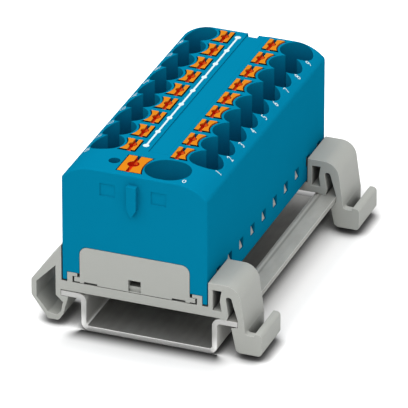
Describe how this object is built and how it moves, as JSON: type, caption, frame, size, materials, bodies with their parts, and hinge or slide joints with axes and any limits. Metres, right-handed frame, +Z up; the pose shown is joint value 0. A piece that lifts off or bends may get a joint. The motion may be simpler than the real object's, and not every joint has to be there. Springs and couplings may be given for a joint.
{
  "type": "power distribution block",
  "caption": "Push-in power distribution block with a large input clamp, two rows of output clamps with push buttons, and clip-on feet on a short top-hat rail.",
  "frame": {"origin": "middle of the flat underside of the rail piece", "axes": "+Z up out of the rail through the push buttons, +Y along the rail from the input end to the far end, +X towards the release levers"},
  "size_m": [0.0458, 0.0643, 0.0343],
  "materials": {
    "blue_plastic": "fine satin moulded polyamide",
    "grey_plastic": "fine satin moulded polyamide",
    "orange_plastic": "satin moulded polyamide",
    "rail_steel": "galvanised and passivated sheet steel",
    "bar_copper": "tin-plated copper strip",
    "spring_steel": "bright spring steel strip"
  },
  "bodies": {
    "block": {"mounting_rail": "rail_steel", "front_rail_foot": "grey_plastic", "rear_rail_foot": "grey_plastic", "base": "grey_plastic", "housing": "blue_plastic", "current_bar": "bar_copper", "spring_input": "spring_steel", "spring_left_1": "spring_steel", "spring_right_1": "spring_steel", "spring_left_2": "spring_steel", "spring_right_2": "spring_steel", "spring_left_3": "spring_steel", "spring_right_3": "spring_steel", "spring_left_4": "spring_steel", "spring_right_4": "spring_steel", "spring_left_5": "spring_steel", "spring_right_5": "spring_steel", "spring_left_6": "spring_steel", "spring_right_6": "spring_steel", "spring_left_7": "spring_steel", "spring_right_7": "spring_steel", "spring_left_8": "spring_steel", "spring_right_8": "spring_steel", "spring_left_9": "spring_steel", "spring_right_9": "spring_steel"},
    "button_input": {"button_input": "orange_plastic"},
    "button_left_1": {"button_left_1": "orange_plastic"},
    "button_right_1": {"button_right_1": "orange_plastic"},
    "button_left_2": {"button_left_2": "orange_plastic"},
    "button_right_2": {"button_right_2": "orange_plastic"},
    "button_left_3": {"button_left_3": "orange_plastic"},
    "button_right_3": {"button_right_3": "orange_plastic"},
    "button_left_4": {"button_left_4": "orange_plastic"},
    "button_right_4": {"button_right_4": "orange_plastic"},
    "button_left_5": {"button_left_5": "orange_plastic"},
    "button_right_5": {"button_right_5": "orange_plastic"},
    "button_left_6": {"button_left_6": "orange_plastic"},
    "button_right_6": {"button_right_6": "orange_plastic"},
    "button_left_7": {"button_left_7": "orange_plastic"},
    "button_right_7": {"button_right_7": "orange_plastic"},
    "button_left_8": {"button_left_8": "orange_plastic"},
    "button_right_8": {"button_right_8": "orange_plastic"},
    "button_left_9": {"button_left_9": "orange_plastic"},
    "button_right_9": {"button_right_9": "orange_plastic"}
  },
  "joints": [
    {"name": "button_input_press", "type": "slide", "parent": "block", "child": "button_input", "axis": [0, 0, -1], "range_m": [0, 0.0012], "stiffness_N_per_m": 900},
    {"name": "button_left_1_press", "type": "slide", "parent": "block", "child": "button_left_1", "axis": [0, 0, -1], "range_m": [0, 0.0012], "stiffness_N_per_m": 500},
    {"name": "button_right_1_press", "type": "slide", "parent": "block", "child": "button_right_1", "axis": [0, 0, -1], "range_m": [0, 0.0012], "stiffness_N_per_m": 500},
    {"name": "button_left_2_press", "type": "slide", "parent": "block", "child": "button_left_2", "axis": [0, 0, -1], "range_m": [0, 0.0012], "stiffness_N_per_m": 500},
    {"name": "button_right_2_press", "type": "slide", "parent": "block", "child": "button_right_2", "axis": [0, 0, -1], "range_m": [0, 0.0012], "stiffness_N_per_m": 500},
    {"name": "button_left_3_press", "type": "slide", "parent": "block", "child": "button_left_3", "axis": [0, 0, -1], "range_m": [0, 0.0012], "stiffness_N_per_m": 500},
    {"name": "button_right_3_press", "type": "slide", "parent": "block", "child": "button_right_3", "axis": [0, 0, -1], "range_m": [0, 0.0012], "stiffness_N_per_m": 500},
    {"name": "button_left_4_press", "type": "slide", "parent": "block", "child": "button_left_4", "axis": [0, 0, -1], "range_m": [0, 0.0012], "stiffness_N_per_m": 500},
    {"name": "button_right_4_press", "type": "slide", "parent": "block", "child": "button_right_4", "axis": [0, 0, -1], "range_m": [0, 0.0012], "stiffness_N_per_m": 500},
    {"name": "button_left_5_press", "type": "slide", "parent": "block", "child": "button_left_5", "axis": [0, 0, -1], "range_m": [0, 0.0012], "stiffness_N_per_m": 500},
    {"name": "button_right_5_press", "type": "slide", "parent": "block", "child": "button_right_5", "axis": [0, 0, -1], "range_m": [0, 0.0012], "stiffness_N_per_m": 500},
    {"name": "button_left_6_press", "type": "slide", "parent": "block", "child": "button_left_6", "axis": [0, 0, -1], "range_m": [0, 0.0012], "stiffness_N_per_m": 500},
    {"name": "button_right_6_press", "type": "slide", "parent": "block", "child": "button_right_6", "axis": [0, 0, -1], "range_m": [0, 0.0012], "stiffness_N_per_m": 500},
    {"name": "button_left_7_press", "type": "slide", "parent": "block", "child": "button_left_7", "axis": [0, 0, -1], "range_m": [0, 0.0012], "stiffness_N_per_m": 500},
    {"name": "button_right_7_press", "type": "slide", "parent": "block", "child": "button_right_7", "axis": [0, 0, -1], "range_m": [0, 0.0012], "stiffness_N_per_m": 500},
    {"name": "button_left_8_press", "type": "slide", "parent": "block", "child": "button_left_8", "axis": [0, 0, -1], "range_m": [0, 0.0012], "stiffness_N_per_m": 500},
    {"name": "button_right_8_press", "type": "slide", "parent": "block", "child": "button_right_8", "axis": [0, 0, -1], "range_m": [0, 0.0012], "stiffness_N_per_m": 500},
    {"name": "button_left_9_press", "type": "slide", "parent": "block", "child": "button_left_9", "axis": [0, 0, -1], "range_m": [0, 0.0012], "stiffness_N_per_m": 500},
    {"name": "button_right_9_press", "type": "slide", "parent": "block", "child": "button_right_9", "axis": [0, 0, -1], "range_m": [0, 0.0012], "stiffness_N_per_m": 500}
  ]
}
